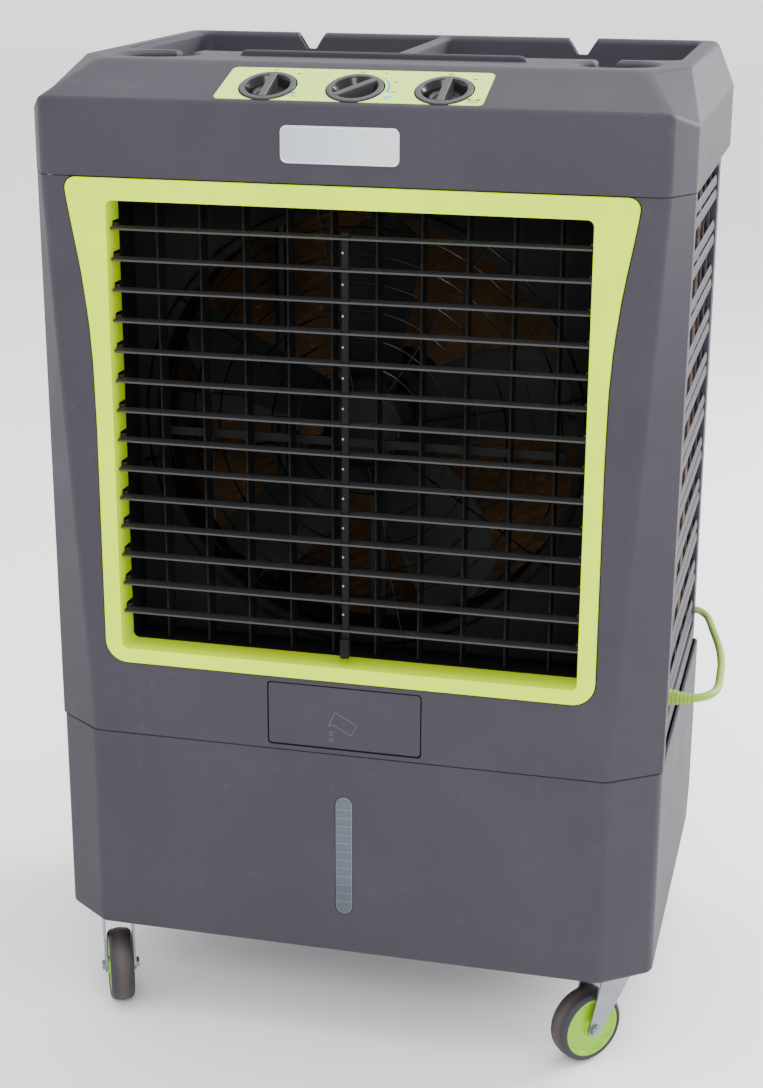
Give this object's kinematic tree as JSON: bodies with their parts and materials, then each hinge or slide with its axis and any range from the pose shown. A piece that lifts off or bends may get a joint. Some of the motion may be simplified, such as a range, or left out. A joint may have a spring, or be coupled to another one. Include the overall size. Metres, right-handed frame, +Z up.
{
  "type": "portable evaporative cooler",
  "caption": "Portable evaporative cooler on swivel castors: louvred air outlet, control slope, top tray with cup recesses, tank with fill door and level window.",
  "frame": {"origin": "centre of the footprint on the floor, cord left out", "axes": "+Z up, -Y towards the front louvres, +X to the viewer's right of the front"},
  "size_m": [0.6536, 0.6133, 0.9601],
  "materials": {
    "body": "fine grain",
    "lime": "satin",
    "black": "satin",
    "knob": "satin",
    "zinc": "zinc plated",
    "wheel": "tyre on a lime hub",
    "pad": "cellulose pad",
    "window": "translucent",
    "pipe": "satin",
    "motor": "grey",
    "float": "satin",
    "plug": "moulded"
  },
  "bodies": {
    "housing": {"top_cap": "body", "front_panel": "body", "bezel": "lime", "water_tank": "body", "rear_panel": "body", "side_panel_left": "body", "side_panel_right": "body", "level_window": "window", "pad_left": "pad", "pad_right": "pad", "pad_rear": "pad", "pump": "black", "water_pipe": "pipe", "fan_shroud": "black", "fan_motor": "motor", "power_cord": "lime", "cord_coil": "lime", "cord_plug": "plug", "cord_gland": "lime"},
    "slat_01": {"slat_01": "black"},
    "slat_02": {"slat_02": "black"},
    "slat_03": {"slat_03": "black"},
    "slat_04": {"slat_04": "black"},
    "slat_05": {"slat_05": "black"},
    "slat_06": {"slat_06": "black"},
    "slat_07": {"slat_07": "black"},
    "slat_08": {"slat_08": "black"},
    "slat_09": {"slat_09": "black"},
    "slat_10": {"slat_10": "black"},
    "slat_11": {"slat_11": "black"},
    "slat_12": {"slat_12": "black"},
    "slat_13": {"slat_13": "black"},
    "slat_14": {"slat_14": "black"},
    "slat_link": {"slat_link": "black"},
    "vane_01": {"vane_01": "black"},
    "vane_02": {"vane_02": "black"},
    "vane_03": {"vane_03": "black"},
    "vane_04": {"vane_04": "black"},
    "vane_05": {"vane_05": "black"},
    "vane_06": {"vane_06": "black"},
    "vane_07": {"vane_07": "black"},
    "vane_08": {"vane_08": "black"},
    "vane_09": {"vane_09": "black"},
    "vane_10": {"vane_10": "black"},
    "vane_link": {"vane_link": "black"},
    "fan": {"fan": "black"},
    "knob_pump": {"knob_pump": "knob"},
    "knob_speed": {"knob_speed": "knob"},
    "knob_swing": {"knob_swing": "knob"},
    "fill_door": {"fill_door": "body"},
    "drain_plug": {"drain_plug": "black"},
    "float_arm": {"float_arm": "float"},
    "castor_fork_front_right": {"castor_fork_front_right": "zinc"},
    "castor_wheel_front_right": {"castor_wheel_front_right": "wheel"},
    "castor_fork_front_left": {"castor_fork_front_left": "zinc"},
    "castor_wheel_front_left": {"castor_wheel_front_left": "wheel"},
    "castor_fork_rear_right": {"castor_fork_rear_right": "zinc"},
    "castor_wheel_rear_right": {"castor_wheel_rear_right": "wheel"},
    "castor_fork_rear_left": {"castor_fork_rear_left": "zinc"},
    "castor_wheel_rear_left": {"castor_wheel_rear_left": "wheel"}
  },
  "joints": [
    {"name": "slat_01_tilt", "type": "hinge", "parent": "housing", "child": "slat_01", "pos_m": [0, -0.197, 0.8095], "axis": [1, 0, 0], "range_deg": [-40, 22]},
    {"name": "slat_02_tilt", "type": "hinge", "parent": "housing", "child": "slat_02", "pos_m": [0, -0.197, 0.781], "axis": [1, 0, 0], "range_deg": [-40, 22]},
    {"name": "slat_03_tilt", "type": "hinge", "parent": "housing", "child": "slat_03", "pos_m": [0, -0.197, 0.7525], "axis": [1, 0, 0], "range_deg": [-40, 22]},
    {"name": "slat_04_tilt", "type": "hinge", "parent": "housing", "child": "slat_04", "pos_m": [0, -0.197, 0.724], "axis": [1, 0, 0], "range_deg": [-40, 22]},
    {"name": "slat_05_tilt", "type": "hinge", "parent": "housing", "child": "slat_05", "pos_m": [0, -0.197, 0.6955], "axis": [1, 0, 0], "range_deg": [-40, 22]},
    {"name": "slat_06_tilt", "type": "hinge", "parent": "housing", "child": "slat_06", "pos_m": [0, -0.197, 0.667], "axis": [1, 0, 0], "range_deg": [-40, 22]},
    {"name": "slat_07_tilt", "type": "hinge", "parent": "housing", "child": "slat_07", "pos_m": [0, -0.197, 0.6385], "axis": [1, 0, 0], "range_deg": [-40, 22]},
    {"name": "slat_08_tilt", "type": "hinge", "parent": "housing", "child": "slat_08", "pos_m": [0, -0.197, 0.61], "axis": [1, 0, 0], "range_deg": [-40, 22]},
    {"name": "slat_09_tilt", "type": "hinge", "parent": "housing", "child": "slat_09", "pos_m": [0, -0.197, 0.5815], "axis": [1, 0, 0], "range_deg": [-40, 22]},
    {"name": "slat_10_tilt", "type": "hinge", "parent": "housing", "child": "slat_10", "pos_m": [0, -0.197, 0.553], "axis": [1, 0, 0], "range_deg": [-40, 22]},
    {"name": "slat_11_tilt", "type": "hinge", "parent": "housing", "child": "slat_11", "pos_m": [0, -0.197, 0.5245], "axis": [1, 0, 0], "range_deg": [-40, 22]},
    {"name": "slat_12_tilt", "type": "hinge", "parent": "housing", "child": "slat_12", "pos_m": [0, -0.197, 0.496], "axis": [1, 0, 0], "range_deg": [-40, 22]},
    {"name": "slat_13_tilt", "type": "hinge", "parent": "housing", "child": "slat_13", "pos_m": [0, -0.197, 0.4675], "axis": [1, 0, 0], "range_deg": [-40, 22]},
    {"name": "slat_14_tilt", "type": "hinge", "parent": "housing", "child": "slat_14", "pos_m": [0, -0.197, 0.439], "axis": [1, 0, 0], "range_deg": [-40, 22]},
    {"name": "slat_link_pin", "type": "hinge", "parent": "slat_01", "child": "slat_link", "pos_m": [0, -0.21108, 0.80651], "axis": [1, 0, 0], "range_deg": [-23, 41]},
    {"name": "vane_01_turn", "type": "hinge", "parent": "housing", "child": "vane_01", "pos_m": [-0.189, -0.166, 0.61725], "axis": [0, 0, 1], "range_deg": [-32, 32]},
    {"name": "vane_02_turn", "type": "hinge", "parent": "housing", "child": "vane_02", "pos_m": [-0.147, -0.166, 0.61725], "axis": [0, 0, 1], "range_deg": [-32, 32]},
    {"name": "vane_03_turn", "type": "hinge", "parent": "housing", "child": "vane_03", "pos_m": [-0.105, -0.166, 0.61725], "axis": [0, 0, 1], "range_deg": [-32, 32]},
    {"name": "vane_04_turn", "type": "hinge", "parent": "housing", "child": "vane_04", "pos_m": [-0.063, -0.166, 0.61725], "axis": [0, 0, 1], "range_deg": [-32, 32]},
    {"name": "vane_05_turn", "type": "hinge", "parent": "housing", "child": "vane_05", "pos_m": [-0.021, -0.166, 0.61725], "axis": [0, 0, 1], "range_deg": [-32, 32]},
    {"name": "vane_06_turn", "type": "hinge", "parent": "housing", "child": "vane_06", "pos_m": [0.021, -0.166, 0.61725], "axis": [0, 0, 1], "range_deg": [-32, 32]},
    {"name": "vane_07_turn", "type": "hinge", "parent": "housing", "child": "vane_07", "pos_m": [0.063, -0.166, 0.61725], "axis": [0, 0, 1], "range_deg": [-32, 32]},
    {"name": "vane_08_turn", "type": "hinge", "parent": "housing", "child": "vane_08", "pos_m": [0.105, -0.166, 0.61725], "axis": [0, 0, 1], "range_deg": [-32, 32]},
    {"name": "vane_09_turn", "type": "hinge", "parent": "housing", "child": "vane_09", "pos_m": [0.147, -0.166, 0.61725], "axis": [0, 0, 1], "range_deg": [-32, 32]},
    {"name": "vane_10_turn", "type": "hinge", "parent": "housing", "child": "vane_10", "pos_m": [0.189, -0.166, 0.61725], "axis": [0, 0, 1], "range_deg": [-32, 32]},
    {"name": "vane_link_pin", "type": "hinge", "parent": "vane_01", "child": "vane_link", "pos_m": [-0.189, -0.1528, 0.606], "axis": [0, 0, 1], "range_deg": [-33, 33]},
    {"name": "fan_spin", "type": "hinge", "parent": "housing", "child": "fan", "pos_m": [0, -0.113, 0.617], "axis": [0, -1, 0], "continuous": true},
    {"name": "knob_pump_turn", "type": "hinge", "parent": "housing", "child": "knob_pump", "pos_m": [-0.076, -0.187, 0.93567], "axis": [0, -0.3846, 0.9231], "range_deg": [-60, 0]},
    {"name": "knob_speed_turn", "type": "hinge", "parent": "housing", "child": "knob_speed", "pos_m": [0.004, -0.187, 0.93567], "axis": [0, -0.3846, 0.9231], "range_deg": [-90, 45]},
    {"name": "knob_swing_turn", "type": "hinge", "parent": "housing", "child": "knob_swing", "pos_m": [0.084, -0.187, 0.93567], "axis": [0, -0.3846, 0.9231], "range_deg": [-60, 0]},
    {"name": "fill_door_tip", "type": "hinge", "parent": "housing", "child": "fill_door", "pos_m": [0, -0.2133, 0.3184], "axis": [1, 0, 0], "range_deg": [0, 45]},
    {"name": "drain_plug_pull", "type": "slide", "parent": "housing", "child": "drain_plug", "axis": [0, 0, -1], "range_m": [0, 0.03]},
    {"name": "float_arm_swing", "type": "hinge", "parent": "housing", "child": "float_arm", "pos_m": [0.278, 0.1, 0.28], "axis": [0, 1, 0], "range_deg": [0, 55]},
    {"name": "castor_swivel_front_right", "type": "hinge", "parent": "housing", "child": "castor_fork_front_right", "pos_m": [0.259, -0.168, 0.097], "axis": [0, 0, 1], "continuous": true},
    {"name": "castor_roll_front_right", "type": "hinge", "parent": "castor_fork_front_right", "child": "castor_wheel_front_right", "pos_m": [0.24018, -0.18736, 0.0375], "axis": [0.7169, -0.6972, 0], "continuous": true},
    {"name": "castor_swivel_front_left", "type": "hinge", "parent": "housing", "child": "castor_fork_front_left", "pos_m": [-0.259, -0.168, 0.097], "axis": [0, 0, 1], "continuous": true},
    {"name": "castor_roll_front_left", "type": "hinge", "parent": "castor_fork_front_left", "child": "castor_wheel_front_left", "pos_m": [-0.24738, -0.19237, 0.0375], "axis": [0.9026, 0.4305, 0], "continuous": true},
    {"name": "castor_swivel_rear_right", "type": "hinge", "parent": "housing", "child": "castor_fork_rear_right", "pos_m": [0.259, 0.128, 0.097], "axis": [0, 0, 1], "continuous": true},
    {"name": "castor_roll_rear_right", "type": "hinge", "parent": "castor_fork_rear_right", "child": "castor_wheel_rear_right", "pos_m": [0.26644, 0.15395, 0.0375], "axis": [-0.9613, 0.2756, 0], "continuous": true},
    {"name": "castor_swivel_rear_left", "type": "hinge", "parent": "housing", "child": "castor_fork_rear_left", "pos_m": [-0.259, 0.128, 0.097], "axis": [0, 0, 1], "continuous": true},
    {"name": "castor_roll_rear_left", "type": "hinge", "parent": "castor_fork_rear_left", "child": "castor_wheel_rear_left", "pos_m": [-0.26415, 0.1545, 0.0375], "axis": [-0.9816, -0.1908, 0], "continuous": true}
  ],
  "couplings": [
    {"joint": "slat_02_tilt", "follows": "slat_01_tilt", "ratio": 1},
    {"joint": "slat_03_tilt", "follows": "slat_01_tilt", "ratio": 1},
    {"joint": "slat_04_tilt", "follows": "slat_01_tilt", "ratio": 1},
    {"joint": "slat_05_tilt", "follows": "slat_01_tilt", "ratio": 1},
    {"joint": "slat_06_tilt", "follows": "slat_01_tilt", "ratio": 1},
    {"joint": "slat_07_tilt", "follows": "slat_01_tilt", "ratio": 1},
    {"joint": "slat_08_tilt", "follows": "slat_01_tilt", "ratio": 1},
    {"joint": "slat_09_tilt", "follows": "slat_01_tilt", "ratio": 1},
    {"joint": "slat_10_tilt", "follows": "slat_01_tilt", "ratio": 1},
    {"joint": "slat_11_tilt", "follows": "slat_01_tilt", "ratio": 1},
    {"joint": "slat_12_tilt", "follows": "slat_01_tilt", "ratio": 1},
    {"joint": "slat_13_tilt", "follows": "slat_01_tilt", "ratio": 1},
    {"joint": "slat_14_tilt", "follows": "slat_01_tilt", "ratio": 1},
    {"joint": "slat_link_pin", "follows": "slat_01_tilt", "ratio": -1},
    {"joint": "vane_02_turn", "follows": "vane_01_turn", "ratio": 1},
    {"joint": "vane_03_turn", "follows": "vane_01_turn", "ratio": 1},
    {"joint": "vane_04_turn", "follows": "vane_01_turn", "ratio": 1},
    {"joint": "vane_05_turn", "follows": "vane_01_turn", "ratio": 1},
    {"joint": "vane_06_turn", "follows": "vane_01_turn", "ratio": 1},
    {"joint": "vane_07_turn", "follows": "vane_01_turn", "ratio": 1},
    {"joint": "vane_08_turn", "follows": "vane_01_turn", "ratio": 1},
    {"joint": "vane_09_turn", "follows": "vane_01_turn", "ratio": 1},
    {"joint": "vane_10_turn", "follows": "vane_01_turn", "ratio": 1},
    {"joint": "vane_link_pin", "follows": "vane_01_turn", "ratio": -1}
  ]
}
